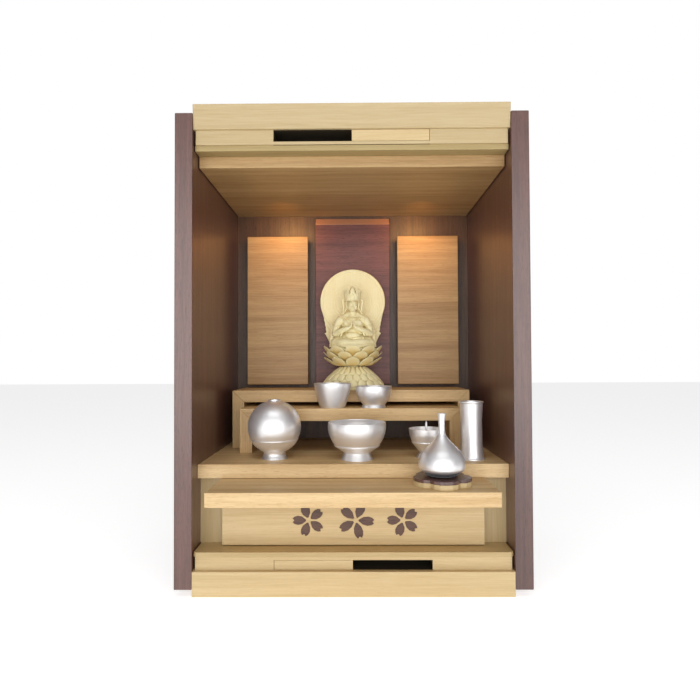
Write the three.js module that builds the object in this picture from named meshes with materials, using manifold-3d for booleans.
// Household altar cabinet: a walnut and maple case with a drawer, a pull-out tray, two stepped
// stands, a carved seated figure on a lotus, and its set of metal vessels and a hand bell.
// Millimetres, +Z up, +X to the right, the front faces -Y. The origin is the middle of the underside.

import * as THREE from 'three';
import { mergeVertices } from 'three/addons/utils/BufferGeometryUtils.js';
import Module from 'manifold-3d';

const wasm = await Module();
wasm.setup();

// Case
const CABINET_WIDTH = 400;
const CABINET_DEPTH = 256;
const SIDE_THICKNESS = 20;
const SIDE_HEIGHT = 536;
const BASE_HEIGHT = 28;
const BASE_DROP = 8;
const TOP_HEIGHT = 28;
const TOP_RISE = 10;
const TOP_FACE_SLANT = 3;
const BACK_THICKNESS = 6;
const BACK_INSET = 3;
const RAIL_SIDE_GAP = 2;
const BOARD_SIDE_GAP = 1;

// Rails with their latch slots
const RAIL_FRONT = 6;
const RAIL_DEPTH = 44;
const TOP_SLOT_HEIGHT = 13.4;
const TOP_SLOT_LEDGE = 3.4;
const BOTTOM_SLOT_HEIGHT = 11;
const BOTTOM_SLOT_LEDGE = 4.5;
const LATCH_SLOT_WIDTH = 178;
const LATCH_SLOT_DEPTH = 37;
const LATCH_CLEARANCE = 0.3;

// Boards above and below the room
const TRIM_THICKNESS = 6.4;
const TRIM_FRONT = 8;
const TRIM_DEPTH = 60;
const CEILING_THICKNESS = 13.5;
const CEILING_FRONT = 25;
const FLOOR_THICKNESS = 5.5;
const FLOOR_FRONT = 2;
const FLOOR_CORNER_CUT = 3;

// Lower tier: partitions, drawer, tray and shelf
const PARTITION_WIDTH = 26;
const PARTITION_SETBACK = 14;
const PARTITION_POST_DEPTH = 16;
const PARTITION_WEB = 10;
const PARTITION_REAR_GAP = 12;
const TRAY_LEDGE_WIDTH = 5;
const TRAY_LEDGE_HEIGHT = 8;
const DRAWER_SPACE_HEIGHT = 62;
const DRAWER_SETBACK = 1;
const DRAWER_FRONT_THICKNESS = 16;
const DRAWER_SIDE_REVEAL = 2.5;
const DRAWER_FOOT_GAP = 1;
const DRAWER_BOX_GAP = 1.5;
const DRAWER_WALL = 8;
const DRAWER_BOTTOM = 4;
const DRAWER_REAR_GAP = 11;
const DRAWER_BOX_HEIGHT = 50;
const TRAY_THICKNESS = 15.5;
const TRAY_PULL_OUT = 71;
const TRAY_REAR_GAP = 23;
const TRAY_CLEARANCE = 0.5;
const SHELF_THICKNESS = 16;
const SHELF_REACH = 80;

// Blossom inlays in the drawer front
const BLOSSOM_SHIFT = 3.2;
const BLOSSOM_SPACING = 54.5;
const BLOSSOM_HEIGHT = 29.3;
const SIDE_BLOSSOM_RADIUS = 18.6;
const MIDDLE_BLOSSOM_RADIUS = 21.2;
const SIDE_BLOSSOM_TURN = 36;
const MIDDLE_BLOSSOM_TURN = -5;
const BLOSSOM_EYE = 3.2;
const INLAY_PETAL_WIDTH = 10.6;
const INLAY_NOTCH = 2;
const INLAY_THICKNESS = 2;
const INLAY_CLEARANCE = 0.1;
const PETALS_PER_BLOSSOM = 5;

// Nested stands on the shelf
const OUTER_STAND_LEFT_GAP = 13.5;
const OUTER_STAND_RIGHT_GAP = 19.5;
const INNER_STAND_INSET = 19;
const INNER_STAND_HEIGHT = 57.5;
const INNER_STAND_STEP = 44;
const INNER_STAND_DEPTH = 100;
const OUTER_STAND_HEIGHT = 79;
const OUTER_STAND_REACH = 41.5;
const STAND_BOARD = 16;
const STAND_REAR_GAP = 0.5;

// Panels in front of the back wall
const SIDE_PANEL_GAP = 11.5;
const SIDE_PANEL_SIDE_GAP = 19;
const SIDE_PANEL_TOP_GAP = 35.8;
const SIDE_PANEL_THICKNESS = 8;
const PANEL_BATTEN_THICKNESS = 12;
const PANEL_BATTEN_WIDTH = 50;
const PANEL_FOOT = 5;
const CENTER_PANEL_WIDTH = 114;
const CENTER_PANEL_TOP_GAP = 4.3;
const CENTER_PANEL_THICKNESS = 12;
const CENTER_PANEL_BEVEL = 11;

// Carved group on the outer stand
const STATUE_BACK_GAP = 58.5;
const PEDESTAL_RADIUS = 45;
const PEDESTAL_TOP_RADIUS = 20;
const PEDESTAL_BULGE = 2.1;
const PEDESTAL_HEIGHT = 30.5;
const PEDESTAL_ROWS = 3;
const PEDESTAL_PETALS = 14;
const STEM_RADIUS = 13.5;
const STEM_HEIGHT = 2.5;
const SEAT_TOP_RADIUS = 36;
const SEAT_HEIGHT = 25;
const SEAT_TIP_RADIUS = 42;
const SEAT_TIP_RISE = 3.5;
const SEAT_ROWS = 3;
const SEAT_TIER_STEP = 8.1;
const SEAT_PETALS = 10;
const PETAL_FILL = 0.95;
const HALO_RADIUS = 48.6;
const HALO_CENTER_HEIGHT = 70.7;
const HALO_ARC = [-26, 206];
const HALO_THICKNESS = 2.6;
const HALO_RIM_WIDTH = 5;
const HALO_RIM_RISE = 1.2;
const HALO_FOOT_HALF = 26;
const HALO_OFFSET = 24;
const FIGURE_HEIGHT = 90;
const CARVED_GAP = 0.3;
const CROWN_PLATES = 5;
const CROWN_PLATE_STEP = 38;

// Vessels on the shelf and on the inner stand. The gap is the clear space to the stand behind them
const VESSEL_WALL = 1.8;
const VESSEL_STEP = 0.7;
const VESSEL_SEGMENTS = 18;
const SMALL_VESSEL_SEGMENTS = 16;
const STICK_HOLDER = { x: -96.5, gap: 6.5, radius: 32.5, height: 72.2, neck: 13.3, foot: 15.8 };
const STICK_HOLDER_COLLAR = 7.4;
const STICK_HOLDER_COLLAR_RISE = 1.6;
const STICK_HOLDER_BORE = 5.4;
const INCENSE_BOWL = { x: 5, gap: 10.7, radius: 35.3, height: 45, neck: 15.9, foot: 19.7 };
const INCENSE_BOWL_STEP = [27.5, 17.5];
const CANDLE_STAND = { x: 91, gap: 11.4, radius: 21.6, height: 35.5, neck: 8, foot: 13 };
const CANDLE_STAND_STEP = [18, 19.5];
const CANDLE_SPIKE_RADIUS = 1.3;
const CANDLE_SPIKE_RISE = 10;
const VASE = { x: 143.5, gap: 36.1, radius: 12.9, height: 70, rim: 14.8, foot: 16 };
const CUP_SETBACK = 17.5;
const TEA_CUP = { x: -27, radius: 24.9, height: 32.5, foot: 16.5 };
const RICE_CUP = { x: 28, radius: 23.8, height: 28.5, foot: 16.5 };

// Hand bell on its cushion and flower-shaped base
const BELL_SIDE_GAP = 82;
const BELL_SHELF_GAP = 1;
const BELL_BASE_RADIUS = 32.5;
const BELL_BASE_NOTCH = 5.5;
const BELL_BASE_LOWER = 5.5;
const BELL_BASE_UPPER = 3.5;
const CUSHION_RADIUS = 18.5;
const CUSHION_HEIGHT = 5;
const BELL_RADIUS = 25.6;
const BELL_HEIGHT = 64;
const BELL_LIP = 17.8;
const BELL_WALL = 2;

// Heights, depths and half widths that follow from the sizes above
const halfInside = CABINET_WIDTH / 2 - SIDE_THICKNESS;
const sideTop = BASE_DROP + SIDE_HEIGHT;
const topBoardTop = sideTop + TOP_RISE;
const topBoardBottom = topBoardTop - TOP_HEIGHT;
const topRailBottom = topBoardBottom - TOP_SLOT_HEIGHT - TOP_SLOT_LEDGE;
const trimBottom = topRailBottom - TRIM_THICKNESS;
const ceilingBottom = trimBottom - CEILING_THICKNESS;
const bottomRailTop = BASE_HEIGHT + BOTTOM_SLOT_HEIGHT + BOTTOM_SLOT_LEDGE;
const floorTop = bottomRailTop + FLOOR_THICKNESS;
const backWallFront = CABINET_DEPTH - BACK_INSET - BACK_THICKNESS;
const openingHalf = halfInside - PARTITION_WIDTH;
const ledgeTop = floorTop + DRAWER_SPACE_HEIGHT;
const trayBottom = ledgeTop;
const trayTop = trayBottom + TRAY_THICKNESS;
const shelfBottom = trayTop + TRAY_CLEARANCE;
const shelfTop = shelfBottom + SHELF_THICKNESS;
const statueDepth = backWallFront - STATUE_BACK_GAP;
const outerStandFront = statueDepth - OUTER_STAND_REACH;
const innerStandFront = outerStandFront - INNER_STAND_STEP;
const shelfFront = innerStandFront - SHELF_REACH;
const drawerDepth = shelfFront + DRAWER_SETBACK;
const partitionDepth = shelfFront + PARTITION_SETBACK;
const cupDepth = innerStandFront + CUP_SETBACK;
const trayFront = drawerDepth - TRAY_PULL_OUT;
const innerStandTop = shelfTop + INNER_STAND_HEIGHT;
const outerStandTop = shelfTop + OUTER_STAND_HEIGHT;
const panelBottom = outerStandTop + PANEL_FOOT;
const seatBottom = outerStandTop + PEDESTAL_HEIGHT + STEM_HEIGHT + CARVED_GAP;
const seatTop = seatBottom + SEAT_HEIGHT;
const figureBottom = seatTop + CARVED_GAP;
const cushionBottom = trayTop + BELL_BASE_LOWER + BELL_BASE_UPPER;

const altar = new THREE.Group();
altar.name = 'household_altar_cabinet';

// Finishes, one new material for each mesh
const finishes = {
  walnut: { color: 0x5b3a30, roughness: 0.45, metalness: 0 },
  darkWalnut: { color: 0x4a2a2c, roughness: 0.5, metalness: 0 },
  maple: { color: 0xdcc08a, roughness: 0.5, metalness: 0 },
  agedMaple: { color: 0xc9a066, roughness: 0.45, metalness: 0 },
  paleWood: { color: 0xd8bd8c, roughness: 0.6, metalness: 0 },
  carvedWood: { color: 0xe6d596, roughness: 0.6, metalness: 0 },
  satinMetal: { color: 0xd9d2cf, roughness: 0.28, metalness: 1 },
  blackCloth: { color: 0x17171b, roughness: 0.9, metalness: 0 },
};

function addMesh(name, finish, geometry) {
  const mesh = new THREE.Mesh(geometry, new THREE.MeshStandardMaterial(finishes[finish]));
  mesh.name = name;
  altar.add(mesh);
  return mesh;
}

// The depth of a vessel's axis, so that its widest part keeps its gap to the inner stand
function vesselDepth({ gap, radius }) {
  return innerStandFront - gap - radius;
}

// Depth counts from the front plane of the case towards its back
function atDepth(depth) {
  return depth - CABINET_DEPTH / 2;
}

// A box whose corners are exactly the given limits
function box([x0, x1], [d0, d1], [z0, z1]) {
  const geometry = new THREE.BoxGeometry(1, 1, 1);
  const p = geometry.attributes.position;
  for (let i = 0; i < p.count; i += 1) {
    const x = p.getX(i) > 0 ? x1 : x0;
    const y = atDepth(p.getY(i) > 0 ? d1 : d0);
    const z = p.getZ(i) > 0 ? z1 : z0;
    p.setXYZ(i, x, y, z);
  }
  return geometry;
}

function shapeOf(points) {
  return new THREE.Shape(points.map(([a, b]) => new THREE.Vector2(a, b)));
}

// An outline in X and Z, run from one depth to another
function prism(points, d0, d1) {
  const geometry = new THREE.ExtrudeGeometry(shapeOf(points), { depth: 1, bevelEnabled: false });
  const p = geometry.attributes.position;
  for (let i = 0; i < p.count; i += 1) {
    const y = atDepth(p.getZ(i) > 0.5 ? d0 : d1);
    p.setXYZ(i, p.getX(i), y, p.getY(i));
  }
  return geometry;
}

// An outline in X and Y, run from one height to another
function plate(points, z0, z1) {
  const geometry = new THREE.ExtrudeGeometry(shapeOf(points), { depth: 1, bevelEnabled: false });
  const p = geometry.attributes.position;
  for (let i = 0; i < p.count; i += 1) {
    p.setZ(i, p.getZ(i) > 0.5 ? z1 : z0);
  }
  return geometry;
}

// An outline in depth and Z, run from one X to another
function moulding(points, x0, x1) {
  const geometry = new THREE.ExtrudeGeometry(shapeOf(points), { depth: 1, bevelEnabled: false });
  const p = geometry.attributes.position;
  for (let i = 0; i < p.count; i += 1) {
    const x = p.getZ(i) > 0.5 ? x1 : x0;
    p.setXYZ(i, x, atDepth(p.getX(i)), p.getY(i));
  }
  return geometry;
}

// A turned shape: the profile is radius and height, and closes on the axis or on itself
function turned(profile, segments, [x, depth, z]) {
  const points = profile.map(([radius, height]) => new THREE.Vector2(radius, height));
  const geometry = new THREE.LatheGeometry(points, segments);
  const p = geometry.attributes.position;
  for (let i = 0; i < p.count; i += 1) {
    p.setXYZ(i, p.getX(i) + x, atDepth(depth) - p.getZ(i), p.getY(i) + z);
  }
  return geometry;
}

function toSolid(geometry) {
  const bare = geometry.clone();
  bare.deleteAttribute('normal');
  bare.deleteAttribute('uv');
  const merged = mergeVertices(bare, 1e-4);
  const solid = new wasm.Mesh({
    numProp: 3,
    vertProperties: new Float32Array(merged.attributes.position.array),
    triVerts: new Uint32Array(merged.index.array),
  });
  return new wasm.Manifold(solid);
}

function toGeometry(solid) {
  const { vertProperties, triVerts } = solid.getMesh();
  const geometry = new THREE.BufferGeometry();
  geometry.setAttribute('position', new THREE.BufferAttribute(new Float32Array(vertProperties), 3));
  geometry.setIndex(new THREE.BufferAttribute(new Uint32Array(triVerts), 1));
  geometry.computeVertexNormals();
  return geometry;
}

function join(geometries) {
  return geometries.map(toSolid).reduce((whole, piece) => whole.add(piece));
}

function cut(geometry, cutters) {
  const start = toSolid(geometry);
  return toGeometry(cutters.map(toSolid).reduce((whole, piece) => whole.subtract(piece), start));
}

// Points on an arc of a profile, from one angle to another in degrees
function arc(centerRadius, centerHeight, radius, from, to, steps) {
  return Array.from({ length: steps + 1 }, (_, i) => {
    const angle = THREE.MathUtils.degToRad(from + ((to - from) * i) / steps);
    return [centerRadius + radius * Math.cos(angle), centerHeight + radius * Math.sin(angle)];
  });
}

// Points on a smooth curve through a few profile points
function smooth(points, steps) {
  const curve = new THREE.SplineCurve(points.map(([a, b]) => new THREE.Vector2(a, b)));
  return curve.getPoints(steps).map((point) => [point.x, point.y]);
}

function mirrored([x0, x1]) {
  return [-x1, -x0];
}

// Case: sides, top, base and back
function makeCase() {
  const sideX = [halfInside, CABINET_WIDTH / 2];
  const full = [0, CABINET_DEPTH];
  addMesh('side_panel_right', 'walnut', box(sideX, full, [BASE_DROP, sideTop]));
  addMesh('side_panel_left', 'walnut', box(mirrored(sideX), full, [BASE_DROP, sideTop]));
  addMesh('base_board', 'maple', box([-halfInside, halfInside], full, [0, BASE_HEIGHT]));

  const topOutline = [
    [TOP_FACE_SLANT, topBoardBottom],
    [CABINET_DEPTH, topBoardBottom],
    [CABINET_DEPTH, topBoardTop],
    [0, topBoardTop],
  ];
  addMesh('top_board', 'maple', moulding(topOutline, -halfInside, halfInside));

  const backDepth = [backWallFront, backWallFront + BACK_THICKNESS];
  addMesh('back_board', 'walnut', box([-halfInside, halfInside], backDepth, [BASE_HEIGHT, topBoardBottom]));
}

// A rail with a long slot, and the latch block that slides in half of it
function makeLatchRail(place, railZ, slotZ, blockSide) {
  const half = halfInside - RAIL_SIDE_GAP;
  const slotHalf = LATCH_SLOT_WIDTH / 2;
  const depth = [RAIL_FRONT, RAIL_FRONT + RAIL_DEPTH];
  const beyond = 5;
  const slotReach = slotZ[0] === railZ[0] ? [slotZ[0] - beyond, slotZ[1]] : [slotZ[0], slotZ[1] + beyond];
  const slotDepth = [RAIL_FRONT - beyond, RAIL_FRONT + LATCH_SLOT_DEPTH];
  const slot = box([-slotHalf, slotHalf], slotDepth, slotReach);
  addMesh(`${place}_rail`, 'maple', cut(box([-half, half], depth, railZ), [slot]));

  const blockX = [LATCH_CLEARANCE, slotHalf - LATCH_CLEARANCE];
  const blockDepth = [RAIL_FRONT, RAIL_FRONT + LATCH_SLOT_DEPTH - LATCH_CLEARANCE];
  const blockZ = [slotZ[0] + LATCH_CLEARANCE, slotZ[1] - LATCH_CLEARANCE];
  const placed = blockSide > 0 ? blockX : mirrored(blockX);
  addMesh(`${place}_latch_block`, 'maple', box(placed, blockDepth, blockZ));
}

function makeRails() {
  const topSlot = [topBoardBottom - TOP_SLOT_HEIGHT, topBoardBottom];
  const bottomSlot = [BASE_HEIGHT, BASE_HEIGHT + BOTTOM_SLOT_HEIGHT];
  makeLatchRail('top', [topRailBottom, topBoardBottom], topSlot, 1);
  makeLatchRail('bottom', [BASE_HEIGHT, bottomRailTop], bottomSlot, -1);
}

// Thin boards that close the room above and below
function makeRoomBoards() {
  const half = halfInside - BOARD_SIDE_GAP;
  const trimDepth = [TRIM_FRONT, TRIM_FRONT + TRIM_DEPTH];
  addMesh('top_trim_board', 'maple', box([-half, half], trimDepth, [trimBottom, topRailBottom]));
  const ceilingDepth = [CEILING_FRONT, backWallFront];
  addMesh('ceiling_board', 'agedMaple', box([-half, half], ceilingDepth, [ceilingBottom, trimBottom]));

  const front = atDepth(FLOOR_FRONT);
  const back = atDepth(backWallFront);
  const outline = [
    [-half + FLOOR_CORNER_CUT, front],
    [half - FLOOR_CORNER_CUT, front],
    [half, front + FLOOR_CORNER_CUT],
    [half, back],
    [-half, back],
    [-half, front + FLOOR_CORNER_CUT],
  ];
  addMesh('floor_board', 'maple', plate(outline, bottomRailTop, floorTop));
}

// A partition is a front post with a thinner web behind it, and a ledge that the tray runs on
function makePartition(name, turn) {
  const place = (range) => (turn > 0 ? range : mirrored(range));
  const rear = backWallFront - PARTITION_REAR_GAP;
  const postRear = partitionDepth + PARTITION_POST_DEPTH;
  const height = [floorTop, shelfBottom];
  const post = box(place([openingHalf, halfInside]), [partitionDepth, postRear], height);
  const web = box(place([openingHalf, openingHalf + PARTITION_WEB]), [postRear - 1, rear], height);
  const ledgeZ = [ledgeTop - TRAY_LEDGE_HEIGHT, ledgeTop];
  const ledgeX = place([openingHalf - TRAY_LEDGE_WIDTH, openingHalf + 1]);
  const ledge = box(ledgeX, [postRear, rear - 1], ledgeZ);
  addMesh(name, 'maple', toGeometry(join([post, web, ledge])));
}

function makeShelfTier() {
  makePartition('drawer_partition_right', 1);
  makePartition('drawer_partition_left', -1);
  const shelfDepth = [shelfFront, backWallFront];
  addMesh('shelf', 'agedMaple', box([-halfInside, halfInside], shelfDepth, [shelfBottom, shelfTop]));
  const trayHalf = openingHalf - TRAY_CLEARANCE;
  const trayLength = backWallFront - TRAY_REAR_GAP - drawerDepth;
  const trayDepth = [trayFront, trayFront + trayLength];
  addMesh('tray', 'agedMaple', box([-trayHalf, trayHalf], trayDepth, [trayBottom, trayTop]));
}

// One petal of a blossom in X and Z, pointing up, from its root near the eye to its notched tip
function petalOutline(radius, inset) {
  const half = INLAY_PETAL_WIDTH / 2 - inset;
  const root = BLOSSOM_EYE + inset;
  const tip = radius - inset;
  const length = tip - root;
  const side = [
    [0.8, 0],
    [half * 0.82, 0.3],
    [half, 0.6],
    [half * 0.8, 0.85],
    [half * 0.42, 1],
  ];
  const right = side.map(([x, share]) => [x, root + share * length]);
  const left = right.map(([x, z]) => [-x, z]).reverse();
  return [...right, [0, tip - INLAY_NOTCH], ...left];
}

function turnAround(points, degrees, [x, z]) {
  const angle = THREE.MathUtils.degToRad(degrees);
  const c = Math.cos(angle);
  const s = Math.sin(angle);
  return points.map(([a, b]) => [x + a * c - b * s, z + a * s + b * c]);
}

// Every petal of the three blossoms: its name, its place and its turn
function listPetals() {
  const blossoms = [
    { side: 'left', x: -BLOSSOM_SPACING, radius: SIDE_BLOSSOM_RADIUS, turn: SIDE_BLOSSOM_TURN },
    { side: 'middle', x: 0, radius: MIDDLE_BLOSSOM_RADIUS, turn: MIDDLE_BLOSSOM_TURN },
    { side: 'right', x: BLOSSOM_SPACING, radius: SIDE_BLOSSOM_RADIUS, turn: SIDE_BLOSSOM_TURN },
  ];
  const step = 360 / PETALS_PER_BLOSSOM;
  return blossoms.flatMap((blossom) => Array.from({ length: PETALS_PER_BLOSSOM }, (_, i) => ({
    name: `petal_inlay_${blossom.side}_${i + 1}`,
    radius: blossom.radius,
    turn: blossom.turn + i * step - 90,
    center: [BLOSSOM_SHIFT + blossom.x, floorTop + BLOSSOM_HEIGHT],
  })));
}

// Drawer: a thick front with blossom inlays and a thin open box behind it
function makeDrawer() {
  const frontHalf = openingHalf - DRAWER_SIDE_REVEAL;
  const frontBottom = floorTop + DRAWER_FOOT_GAP;
  const frontTop = ledgeTop - DRAWER_FOOT_GAP;
  const frontRear = drawerDepth + DRAWER_FRONT_THICKNESS;
  const front = box([-frontHalf, frontHalf], [drawerDepth, frontRear], [frontBottom, frontTop]);
  const petals = listPetals();
  const pocketFloor = drawerDepth + INLAY_THICKNESS;
  const pockets = petals.map(({ radius, turn, center }) => {
    const outline = turnAround(petalOutline(radius, 0), turn, center);
    return prism(outline, drawerDepth - 1, pocketFloor);
  });
  addMesh('drawer_front', 'maple', cut(front, pockets));
  for (const { name, radius, turn, center } of petals) {
    const outline = turnAround(petalOutline(radius, INLAY_CLEARANCE), turn, center);
    addMesh(name, 'walnut', prism(outline, drawerDepth, pocketFloor));
  }

  const boxHalf = openingHalf - TRAY_LEDGE_WIDTH - DRAWER_BOX_GAP;
  const boxRear = backWallFront - DRAWER_REAR_GAP;
  const boxZ = [frontBottom, frontBottom + DRAWER_BOX_HEIGHT];
  const outside = box([-boxHalf, boxHalf], [frontRear, boxRear], boxZ);
  const innerHalf = boxHalf - DRAWER_WALL;
  const hollow = box(
    [-innerHalf, innerHalf],
    [frontRear - 1, boxRear - DRAWER_WALL],
    [boxZ[0] + DRAWER_BOTTOM, boxZ[1] + 1],
  );
  addMesh('drawer_box', 'paleWood', cut(outside, [hollow]));
}

// A stand is a top board and two legs with mitred corners
function makeStand(name, [left, right], top, [front, back]) {
  const under = top - STAND_BOARD;
  const topOutline = [[left, top], [left + STAND_BOARD, under], [right - STAND_BOARD, under], [right, top]];
  const inner = left + STAND_BOARD;
  const legLeft = [[left, top], [left, shelfTop], [inner, shelfTop], [inner, under]];
  const legRight = legLeft.map(([x, z]) => [left + right - x, z]).reverse();
  addMesh(`${name}_stand_top`, 'agedMaple', prism(topOutline, front, back));
  addMesh(`${name}_stand_leg_left`, 'agedMaple', prism(legLeft, front, back));
  addMesh(`${name}_stand_leg_right`, 'agedMaple', prism(legRight, front, back));
}

function makeStands() {
  const outerX = [OUTER_STAND_LEFT_GAP - halfInside, halfInside - OUTER_STAND_RIGHT_GAP];
  const innerX = [outerX[0] + INNER_STAND_INSET, outerX[1] - INNER_STAND_INSET];
  const innerBack = innerStandFront + INNER_STAND_DEPTH;
  makeStand('inner', innerX, innerStandTop, [innerStandFront, innerBack]);
  const outerBack = backWallFront - STAND_REAR_GAP;
  makeStand('outer', outerX, outerStandTop, [outerStandFront, outerBack]);
}

// Two floating panels on battens, and the tall middle panel with its bevelled top edge
function makeBackPanels() {
  const battenFront = backWallFront - PANEL_BATTEN_THICKNESS;
  const panelX = [CENTER_PANEL_WIDTH / 2 + SIDE_PANEL_GAP, halfInside - SIDE_PANEL_SIDE_GAP];
  const panelDepth = [battenFront - SIDE_PANEL_THICKNESS, battenFront];
  const panelZ = [panelBottom, ceilingBottom - SIDE_PANEL_TOP_GAP];
  const battenMargin = (panelX[1] - panelX[0] - PANEL_BATTEN_WIDTH) / 2;
  const battenX = [panelX[0] + battenMargin, panelX[1] - battenMargin];
  const battenZ = [panelZ[0] + battenMargin, panelZ[1] - battenMargin];
  for (const [side, place] of [['right', (range) => range], ['left', mirrored]]) {
    addMesh(`back_panel_${side}`, 'agedMaple', box(place(panelX), panelDepth, panelZ));
    addMesh(`panel_batten_${side}`, 'paleWood', box(place(battenX), [battenFront, backWallFront], battenZ));
  }

  const half = CENTER_PANEL_WIDTH / 2;
  const front = backWallFront - CENTER_PANEL_THICKNESS;
  const top = ceilingBottom - CENTER_PANEL_TOP_GAP;
  const outline = [
    [front, panelBottom],
    [backWallFront, panelBottom],
    [backWallFront, top],
    [front + CENTER_PANEL_BEVEL, top],
    [front, top - CENTER_PANEL_BEVEL],
  ];
  addMesh('back_panel_center', 'darkWalnut', moulding(outline, -half, half));
}

// The inside of a vessel follows its outside, one wall thickness in, from the rim down to the axis
function inwards(outer, wall) {
  return outer.map(([radius, height], i) => {
    const before = outer[Math.max(i - 1, 0)];
    const after = outer[Math.min(i + 1, outer.length - 1)];
    const run = Math.hypot(after[0] - before[0], after[1] - before[1]);
    const slopeOut = (after[1] - before[1]) / run;
    const slopeUp = (after[0] - before[0]) / run;
    return [radius - wall * slopeOut, height + wall * slopeUp];
  });
}

// A footed vessel: a foot ring, then the wall going up, over the rim and down the inside
function footedVessel(foot, wall, floorHeight) {
  const rim = wall[wall.length - 1];
  const inside = inwards(wall, VESSEL_WALL)
    .filter(([radius, height]) => radius > VESSEL_WALL && height > floorHeight && height < rim[1] - 0.5)
    .reverse();
  return [...foot, ...wall, [rim[0] - VESSEL_WALL, rim[1]], ...inside, [0, floorHeight]];
}

function makeStickHolder() {
  const { x, radius, height, neck, foot } = STICK_HOLDER;
  const depth = vesselDepth(STICK_HOLDER);
  const collar = STICK_HOLDER_COLLAR;
  const bore = STICK_HOLDER_BORE;
  const rise = Math.sqrt(radius ** 2 - collar ** 2);
  const center = height - STICK_HOLDER_COLLAR_RISE - rise;
  const toDegrees = THREE.MathUtils.radToDeg;
  const neckAngle = -toDegrees(Math.acos(neck / radius));
  const stepAngle = -28;
  const collarAngle = toDegrees(Math.acos(collar / radius));
  const cavity = radius - VESSEL_WALL;
  const boreAngle = toDegrees(Math.acos(bore / cavity));
  const profile = [
    [0, 1.5],
    [foot - 3, 1.5],
    [foot - 2, 0],
    [foot, 0],
    [neck, 5.5],
    ...arc(0, center, radius + VESSEL_STEP, neckAngle, stepAngle, 3),
    ...arc(0, center, radius, stepAngle, collarAngle, 8),
    [collar, height],
    [bore, height],
    ...arc(0, center, cavity, boreAngle, -90, 6).slice(0, -1),
    [0, center - cavity],
  ];
  addMesh('incense_stick_holder', 'satinMetal', turned(profile, VESSEL_SEGMENTS, [x, depth, shelfTop]));
}

function makeIncenseBowl() {
  const { x, radius, height, neck, foot } = INCENSE_BOWL;
  const depth = vesselDepth(INCENSE_BOWL);
  const [step, stepHeight] = INCENSE_BOWL_STEP;
  const neckHeight = 8.5;
  const footRing = [
    [0, 1.5],
    [foot - 3, 1.5],
    [foot - 2, 0],
    [foot, 0],
    [foot - 1.2, 2.5],
    [neck, neckHeight],
  ];
  const belly = [
    [step, stepHeight],
    [radius - 2.6, height * 0.6],
    [radius, height * 0.82],
    [radius - 0.3, height],
  ];
  const body = smooth(belly, 5);
  const wall = [[step + VESSEL_STEP, stepHeight - VESSEL_STEP], ...body];
  const profile = footedVessel(footRing, wall, neckHeight + VESSEL_WALL);
  addMesh('incense_bowl', 'satinMetal', turned(profile, VESSEL_SEGMENTS, [x, depth, shelfTop]));
}

function makeCandleStand() {
  const { x, radius, height, neck, foot } = CANDLE_STAND;
  const depth = vesselDepth(CANDLE_STAND);
  const [step, stepHeight] = CANDLE_STAND_STEP;
  const neckHeight = 6.5;
  const floorHeight = stepHeight - 5;
  const footRing = [[0, 1], [foot - 3, 1], [foot - 2, 0], [foot, 0], [foot - 1.5, 2], [neck, neckHeight]];
  const body = smooth([[step, stepHeight], [radius - 0.8, height * 0.78], [radius, height]], 4);
  const wall = [[step + VESSEL_STEP, stepHeight - VESSEL_STEP], ...body];
  const bowl = footedVessel(footRing, wall, floorHeight);
  const spike = [
    [CANDLE_SPIKE_RADIUS, floorHeight],
    [CANDLE_SPIKE_RADIUS, height + CANDLE_SPIKE_RISE - 4],
    [0, height + CANDLE_SPIKE_RISE],
  ];
  const profile = [...bowl.slice(0, -1), ...spike];
  addMesh('candle_stand', 'satinMetal', turned(profile, SMALL_VESSEL_SEGMENTS, [x, depth, shelfTop]));
}

function makeVase() {
  const { x, radius, height, rim, foot } = VASE;
  const depth = vesselDepth(VASE);
  const floorHeight = 5;
  const outside = [
    [0, 1],
    [foot - 3, 1],
    [foot - 2, 0],
    [foot, 0],
    [foot - 0.3, 2],
    ...smooth([[foot - 1.5, 2.6], [radius + 0.6, 11], [radius, 20]], 4),
    [radius, height * 0.72],
    [rim - 0.9, height - 2.4],
    [rim, height - 1.8],
    [rim, height],
  ];
  const inside = [
    [rim - VESSEL_WALL, height],
    [radius - VESSEL_WALL, height * 0.72],
    [radius - VESSEL_WALL, floorHeight + 2],
    [radius - VESSEL_WALL - 2, floorHeight],
    [0, floorHeight],
  ];
  const profile = [...outside, ...inside];
  addMesh('flower_vase', 'satinMetal', turned(profile, SMALL_VESSEL_SEGMENTS, [x, depth, shelfTop]));
}

function makeCups() {
  const tea = TEA_CUP;
  const teaFoot = [[0, 0.8], [tea.foot - 2.6, 0.8], [tea.foot - 1.8, 0]];
  const teaSide = [[tea.foot, 0], [tea.foot + 3, 9], [tea.radius - 1, 25], [tea.radius, tea.height]];
  const teaWall = smooth(teaSide, 4);
  const teaProfile = footedVessel(teaFoot, teaWall, 4);
  const teaPlace = [tea.x, cupDepth, innerStandTop];
  addMesh('tea_cup', 'satinMetal', turned(teaProfile, VESSEL_SEGMENTS, teaPlace));

  const rice = RICE_CUP;
  const riceFoot = [[0, 1], [rice.foot - 3, 1], [rice.foot - 2, 0], [rice.foot, 0], [rice.foot - 2, 3.5]];
  const riceBelly = [
    [rice.foot - 1.5, 4.2],
    [rice.radius - 2.6, 13],
    [rice.radius, 22],
    [rice.radius, rice.height],
  ];
  const riceWall = smooth(riceBelly, 5);
  const riceProfile = footedVessel(riceFoot, riceWall, 6);
  const ricePlace = [rice.x, cupDepth, innerStandTop];
  addMesh('rice_cup', 'satinMetal', turned(riceProfile, VESSEL_SEGMENTS, ricePlace));
}

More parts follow.
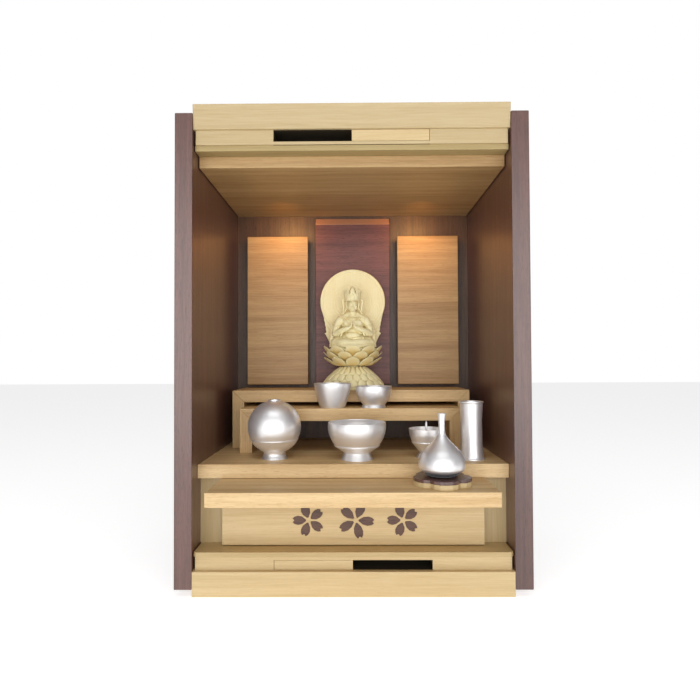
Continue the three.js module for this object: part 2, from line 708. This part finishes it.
// A blossom-shaped outline round its own centre: round lobes with a notch between each two, one lobe
// pointing to the front
function blossomOutline(radius, notch, lobes, steps) {
  const lobeAngle = (2 * Math.PI) / lobes;
  return Array.from({ length: lobes * steps }, (_, i) => {
    const angle = (i * lobeAngle) / steps;
    const fromNotch = Math.abs(Math.sin((angle * lobes) / 2));
    const r = radius - notch * (1 - fromNotch) ** 1.6;
    const direction = angle - Math.PI / 2 - lobeAngle / 2;
    return [r * Math.cos(direction), r * Math.sin(direction)];
  });
}

function makeBell() {
  const blossom = blossomOutline(BELL_BASE_RADIUS, BELL_BASE_NOTCH, PETALS_PER_BLOSSOM, 6);
  const reachBack = Math.max(...blossom.map(([, y]) => y));
  const bellDepth = shelfFront - BELL_SHELF_GAP - reachBack;
  const bellX = halfInside - BELL_SIDE_GAP;
  const place = [bellX, bellDepth];
  const lowerTop = trayTop + BELL_BASE_LOWER;
  const outline = blossom.map(([x, y]) => [bellX + x, atDepth(bellDepth) + y]);
  addMesh('bell_base_lower', 'maple', plate(outline, trayTop, lowerTop));
  addMesh('bell_base_upper', 'walnut', plate(outline, lowerTop, cushionBottom));

  const edge = 1.6;
  const cushion = [
    [0, 0],
    [CUSHION_RADIUS - edge, 0],
    [CUSHION_RADIUS, edge],
    [CUSHION_RADIUS, CUSHION_HEIGHT - edge],
    [CUSHION_RADIUS - edge, CUSHION_HEIGHT],
    [0, CUSHION_HEIGHT],
  ];
  addMesh('bell_cushion', 'blackCloth', turned(cushion, VESSEL_SEGMENTS, [...place, cushionBottom]));

  // Outside of the bell as shares of its radius and height, from its round foot to the top of the handle
  const shares = [
    [0.97, 0.055],
    [1, 0.12],
    [0.97, 0.205],
    [0.893, 0.287],
    [0.75, 0.37],
    [0.5, 0.47],
    [0.3, 0.555],
    [0.185, 0.625],
    [0.145, 0.7],
    [0.135, 0.8],
    [0.16, 0.93],
  ];
  const body = smooth(shares.map(([r, h]) => [r * BELL_RADIUS, h * BELL_HEIGHT]), 13);
  const outside = [[BELL_LIP, 0], [BELL_RADIUS * 0.88, BELL_HEIGHT * 0.018], ...body];
  const handleTop = BELL_RADIUS * 0.205;
  const inside = inwards(outside, BELL_WALL)
    .filter(([r, h]) => r > BELL_WALL && h > 1.5 && h < BELL_HEIGHT * 0.5);
  const top = [[handleTop, BELL_HEIGHT], [0, BELL_HEIGHT - 0.8]];
  const crown = inside[inside.length - 1][1] + 1.5;
  const profile = [[0, crown], ...inside.reverse(), [BELL_LIP - BELL_WALL, 0], ...outside, ...top];
  const bellPlace = [...place, cushionBottom + CUSHION_HEIGHT];
  addMesh('bell', 'satinMetal', turned(profile, SMALL_VESSEL_SEGMENTS, bellPlace));
}

// A closed skin over rings of points, each ring counterclockwise seen from the next one
function loft(rings) {
  const count = rings[0].length;
  const last = (rings.length - 1) * count;
  const sumAlong = (ring, axis) => ring.reduce((sum, point) => sum + point[axis], 0);
  const middle = (ring) => [0, 1, 2].map((axis) => sumAlong(ring, axis) / count);
  const points = [...rings.flat(), middle(rings[0]), middle(rings[rings.length - 1])];
  const start = points.length - 2;
  const end = points.length - 1;
  const index = [];
  for (let j = 0; j < count; j += 1) {
    const next = (j + 1) % count;
    index.push(start, next, j, end, last + j, last + next);
    for (let low = 0; low < last; low += count) {
      const high = low + count;
      index.push(low + j, low + next, high + next, low + j, high + next, high + j);
    }
  }
  const geometry = new THREE.BufferGeometry();
  geometry.setAttribute('position', new THREE.Float32BufferAttribute(points.flat(), 3));
  geometry.setIndex(index);
  return geometry;
}

// A carved petal round the axis of the statue. Its spine runs in radius and height from its low end to
// its high end, its breadth is a share of its half angle, and a ridge swells out from its flat back
function carvedPetal({ low, bend, high, half, ridge, stations, turn, bottom }) {
  const spine = new THREE.QuadraticBezierCurve(
    new THREE.Vector2(...low),
    new THREE.Vector2(...bend),
    new THREE.Vector2(...high),
  );
  const centerY = atDepth(statueDepth);
  const rings = stations.map(([along, share]) => {
    const at = spine.getPoint(along);
    const way = spine.getTangent(along);
    const swell = Math.max(Math.sin(Math.PI * Math.min(along + 0.15, 1)), 0.05);
    const spread = half * share;
    const corners = [
      [at.x + way.y * ridge * swell, at.y - way.x * ridge * swell, 0],
      [at.x, at.y, spread],
      [at.x, at.y, -spread],
    ];
    return corners.map(([radius, height, lean]) => {
      const angle = turn + lean;
      return [radius * Math.cos(angle), centerY + radius * Math.sin(angle), bottom + height];
    });
  });
  return loft(rings);
}

function petalRow(count, offset, petal) {
  const step = (2 * Math.PI) / count;
  const turns = Array.from({ length: count }, (_, i) => (i + offset) * step - Math.PI / 2);
  return turns.map((turn) => carvedPetal({ ...petal, turn }));
}

// Pedestal: a dome under rows of petals that hang outwards, with a short stem on top
function makePedestal() {
  const rowHeight = PEDESTAL_HEIGHT / (PEDESTAL_ROWS + 0.5);
  const footHeight = rowHeight * 0.5;
  const radiusAt = (height) => {
    const share = Math.max(height - footHeight, 0) / (PEDESTAL_HEIGHT - footHeight);
    return PEDESTAL_TOP_RADIUS + (PEDESTAL_RADIUS - PEDESTAL_TOP_RADIUS) * (1 - share ** PEDESTAL_BULGE);
  };
  const rows = Array.from({ length: PEDESTAL_ROWS }, (_, row) => footHeight + row * rowHeight);
  const inset = 1.5;
  const core = [
    [0, 0],
    [PEDESTAL_RADIUS, 0],
    ...rows.map((height) => [radiusAt(height) - inset, height]),
    [PEDESTAL_TOP_RADIUS, PEDESTAL_HEIGHT],
    [STEM_RADIUS, PEDESTAL_HEIGHT],
    [STEM_RADIUS, PEDESTAL_HEIGHT + STEM_HEIGHT],
    [0, PEDESTAL_HEIGHT + STEM_HEIGHT],
  ];
  const pieces = [turned(core, 24, [0, statueDepth, outerStandTop])];
  rows.forEach((height, row) => {
    const tipRadius = radiusAt(height) - 0.4;
    const rootHeight = height + rowHeight - 1;
    pieces.push(...petalRow(PEDESTAL_PETALS, row / 2, {
      low: [tipRadius, height - 1.5],
      bend: [tipRadius - 0.5, rootHeight - 2],
      high: [radiusAt(rootHeight) - inset - 2, rootHeight],
      half: (PETAL_FILL * Math.PI) / PEDESTAL_PETALS,
      ridge: 2,
      stations: [[0, 0.1], [0.5, 1], [1, 0.7]],
      bottom: outerStandTop,
    }));
  });
  addMesh('statue_pedestal', 'carvedWood', toGeometry(join(pieces)));
}

// Lotus seat: a bowl with a flat top and rows of petals that rise round it
function makeLotusSeat() {
  const core = [
    [0, 0],
    [STEM_RADIUS + 3, 0],
    [SEAT_TOP_RADIUS * 0.72, SEAT_HEIGHT * 0.2],
    [SEAT_TOP_RADIUS * 0.95, SEAT_HEIGHT * 0.55],
    [SEAT_TOP_RADIUS, SEAT_HEIGHT],
    [0, SEAT_HEIGHT],
  ];
  const pieces = [turned(core, 24, [0, statueDepth, seatBottom])];
  for (let row = 0; row < SEAT_ROWS; row += 1) {
    const rootHeight = 1.5 + row * 4.5;
    const tipHeight = SEAT_HEIGHT + SEAT_TIP_RISE - (SEAT_ROWS - 1 - row) * SEAT_TIER_STEP;
    pieces.push(...petalRow(SEAT_PETALS, row / 2, {
      low: [STEM_RADIUS + 4 + row * 5, rootHeight],
      bend: [SEAT_TIP_RADIUS * 0.98, rootHeight + 1.5],
      high: [SEAT_TIP_RADIUS, tipHeight],
      half: (PETAL_FILL * Math.PI) / SEAT_PETALS,
      ridge: 2.2,
      stations: [[0, 0.6], [0.4, 1], [0.75, 0.85], [1, 0.06]],
      bottom: seatBottom,
    }));
  }
  addMesh('statue_lotus_seat', 'carvedWood', toGeometry(join(pieces)));
}

// A turned ring that faces the front, its profile in radius and distance towards the front
function ringFacingFront(profile, segments, [x, depth, z]) {
  const geometry = new THREE.LatheGeometry(profile.map(([r, out]) => new THREE.Vector2(r, out)), segments);
  const p = geometry.attributes.position;
  for (let i = 0; i < p.count; i += 1) {
    p.setXYZ(i, x + p.getX(i), atDepth(depth) - p.getY(i), z - p.getZ(i));
  }
  return geometry;
}

// Halo: a round board that narrows to a foot between two leaf tips, with a raised rim and an inner ring
function makeHalo() {
  const back = statueDepth + HALO_OFFSET;
  const front = back - HALO_THICKNESS;
  const center = seatTop + HALO_CENTER_HEIGHT;
  const side = [
    [HALO_FOOT_HALF, 0],
    [HALO_FOOT_HALF, SEAT_TIP_RISE + 0.6],
    [HALO_FOOT_HALF + 7.5, SEAT_TIP_RISE + 1],
    [HALO_FOOT_HALF + 9.5, 12.5],
    [HALO_FOOT_HALF + 16.5, 23.5],
    [HALO_FOOT_HALF + 13, 26],
    [HALO_FOOT_HALF + 15, 32],
    [HALO_FOOT_HALF + 18, 34],
    [HALO_FOOT_HALF + 15.8, 40],
  ];
  const right = side.map(([x, up]) => [x, figureBottom + up]);
  const round = arc(0, center, HALO_RADIUS, ...HALO_ARC, 22);
  const left = right.map(([x, z]) => [-x, z]).reverse();
  const board = prism([...right, ...round, ...left], front, back);
  const ring = (outer, width, rise, segments) => {
    const profile = [[outer, -1], [outer, rise], [outer - width, rise], [outer - width, -1], [outer, -1]];
    return ringFacingFront(profile, segments, [0, front, center]);
  };
  const rim = ring(HALO_RADIUS - 0.8, HALO_RIM_WIDTH, HALO_RIM_RISE, 26);
  const inner = ring(HALO_RADIUS * 0.56, HALO_RIM_WIDTH * 0.6, HALO_RIM_RISE, 16);
  addMesh('statue_halo', 'carvedWood', toGeometry(join([board, rim, inner])));
}

// Shares of the figure's height: to the side, towards the front and up from the seat
function figurePoint([side, forward, up]) {
  const h = FIGURE_HEIGHT;
  return new THREE.Vector3(side * h, atDepth(statueDepth) - forward * h, figureBottom + up * h);
}

function lump(center, [side, forward, up], segments = 8) {
  const geometry = new THREE.SphereGeometry(1, segments, Math.round(segments * 0.7));
  const h = FIGURE_HEIGHT;
  geometry.rotateX(Math.PI / 2);
  geometry.scale(side * h, forward * h, up * h);
  const at = figurePoint(center);
  geometry.translate(at.x, at.y, at.z);
  return geometry;
}

// A limb is a tapering round bar with round ends
function limb(from, to, startRadius, endRadius, segments = 6) {
  const a = figurePoint(from);
  const b = figurePoint(to);
  const way = b.clone().sub(a);
  const length = way.length();
  const r0 = startRadius * FIGURE_HEIGHT;
  const r1 = endRadius * FIGURE_HEIGHT;
  const profile = [[0, -r0], [r0 * 0.72, -r0 * 0.7], [r0, 0], [r1, length], [r1 * 0.72, length + r1 * 0.7]];
  const points = [...profile, [0, length + r1]].map(([r, along]) => new THREE.Vector2(r, along));
  const geometry = new THREE.LatheGeometry(points, segments);
  const turn = new THREE.Quaternion().setFromUnitVectors(new THREE.Vector3(0, 1, 0), way.normalize());
  geometry.applyQuaternion(turn);
  geometry.translate(a.x, a.y, a.z);
  return geometry;
}

// A raised fold or band that follows a smooth line through a few points
function fold(points, radius, steps = 6) {
  const path = new THREE.CatmullRomCurve3(points.map(figurePoint));
  const r = radius * FIGURE_HEIGHT;
  const sides = 4;
  const section = Array.from({ length: sides }, (_, i) => {
    const angle = (2 * Math.PI * i) / sides;
    return [r * Math.cos(angle), r * Math.sin(angle)];
  });
  return new THREE.ExtrudeGeometry(shapeOf(section), { steps, extrudePath: path, bevelEnabled: false });
}

// Both sides of the figure get the same piece, mirrored
function bothSides(makePiece) {
  return [1, -1].map((way) => makePiece(way));
}

function figureBody() {
  return [
    lump([0, -0.02, 0.13], [0.25, 0.16, 0.15]),
    lump([0, -0.01, 0.25], [0.15, 0.115, 0.15]),
    lump([0, 0, 0.385], [0.185, 0.13, 0.135]),
    limb([-0.175, -0.01, 0.45], [0.175, -0.01, 0.45], 0.075, 0.075),
    limb([0, 0, 0.5], [0, 0.012, 0.61], 0.066, 0.062),
    ...bothSides((way) => limb([way * 0.045, -0.015, 0.55], [way * 0.2, -0.01, 0.462], 0.055, 0.055)),
    lump([0, 0.13, 0.06], [0.2, 0.15, 0.075]),
    ...bothSides((way) => limb([way * 0.1, -0.03, 0.1], [way * 0.265, 0.09, 0.085], 0.1, 0.085)),
    ...bothSides((way) => limb([way * 0.265, 0.09, 0.075], [way * -0.03, 0.235, 0.07], 0.08, 0.06)),
    limb([0.04, 0.21, 0.13], [0.17, 0.165, 0.14], 0.03, 0.036),
    lump([0, 0.135, 0.2], [0.12, 0.07, 0.062]),
  ];
}

function figureArms() {
  const pieces = bothSides((way) => [
    limb([way * 0.215, -0.01, 0.452], [way * 0.287, 0.03, 0.24], 0.066, 0.054),
    limb([way * 0.287, 0.035, 0.238], [way * 0.07, 0.195, 0.318], 0.052, 0.035),
    limb([way * 0.05, 0.2, 0.318], [way * 0.018, 0.21, 0.395], 0.035, 0.018),
  ]);
  return pieces.flat();
}

function figureHead() {
  const crownBand = limb([0, -0.005, 0.775], [0, -0.005, 0.8], 0.13, 0.124, 8);
  const plates = Array.from({ length: CROWN_PLATES }, (_, i) => {
    const degrees = (i - (CROWN_PLATES - 1) / 2) * CROWN_PLATE_STEP;
    const angle = THREE.MathUtils.degToRad(degrees);
    const side = Math.sin(angle);
    const forward = Math.cos(angle);
    const height = 0.15 - Math.abs(degrees) * 0.0006;
    const base = [side * 0.112, forward * 0.112, 0.8];
    return limb(base, [side * 0.13, forward * 0.13, 0.8 + height], 0.042, 0.012, 4);
  });
  return [
    lump([0, 0.02, 0.69], [0.098, 0.1, 0.105]),
    lump([0, -0.015, 0.71], [0.116, 0.105, 0.105]),
    lump([0, 0.118, 0.68], [0.016, 0.016, 0.026], 5),
    crownBand,
    ...plates,
    lump([0, -0.015, 0.87], [0.08, 0.08, 0.1], 6),
    lump([0, -0.02, 0.965], [0.04, 0.04, 0.045], 6),
    ...bothSides((way) => lump([way * 0.11, 0.005, 0.67], [0.016, 0.028, 0.055], 5)),
    ...bothSides((way) => {
      const lock = [[way * 0.125, -0.02, 0.76], [way * 0.15, -0.02, 0.6], [way * 0.2, 0.01, 0.49]];
      return fold(lock, 0.018, 2);
    }),
  ];
}

function figureDrapery() {
  const lapFolds = [0.118, 0.085, 0.05].map((up, i) => {
    const reach = 0.3 + i * 0.025;
    const forward = 0.27 + i * 0.02;
    return fold([
      [-reach, 0.07, up + 0.03],
      [-reach * 0.55, forward * 0.8, up + 0.012],
      [0, forward, up - 0.02],
      [reach * 0.55, forward * 0.8, up + 0.012],
      [reach, 0.07, up + 0.03],
    ], 0.016, 4);
  });
  return [
    ...lapFolds,
    fold([[-0.15, 0.03, 0.51], [-0.08, 0.125, 0.4], [0.06, 0.13, 0.28], [0.14, 0.08, 0.2]], 0.024, 4),
    fold([
      [-0.12, 0.05, 0.495],
      [-0.06, 0.11, 0.44],
      [0, 0.125, 0.425],
      [0.06, 0.11, 0.44],
      [0.12, 0.05, 0.495],
    ], 0.012, 4),
    ...bothSides((way) => fold([
      [way * 0.2, -0.05, 0.5],
      [way * 0.3, -0.03, 0.36],
      [way * 0.33, -0.02, 0.2],
      [way * 0.34, 0, 0.03],
    ], 0.022, 3)),
    ...bothSides((way) => fold([
      [way * 0.1, -0.08, 0.13],
      [way * 0.22, 0.02, 0.185],
      [way * 0.3, 0.12, 0.15],
      [way * 0.28, 0.2, 0.08],
    ], 0.015, 3)),
  ];
}

// Seated figure with folded legs, its hands joined before the chest
function makeFigure() {
  const whole = join([...figureBody(), ...figureArms(), ...figureHead(), ...figureDrapery()]);
  const reach = FIGURE_HEIGHT;
  const near = statueDepth - reach;
  const far = statueDepth + reach;
  const ground = box([-reach, reach], [near, far], [figureBottom - reach, figureBottom]);
  addMesh('statue_figure', 'carvedWood', toGeometry(whole.subtract(toSolid(ground))));
}

makeCase();
makeRails();
makeRoomBoards();
makeShelfTier();
makeDrawer();
makeStands();
makeBackPanels();
makeStickHolder();
makeIncenseBowl();
makeCandleStand();
makeVase();
makeCups();
makeBell();
makePedestal();
makeLotusSeat();
makeHalo();
makeFigure();

export default altar;
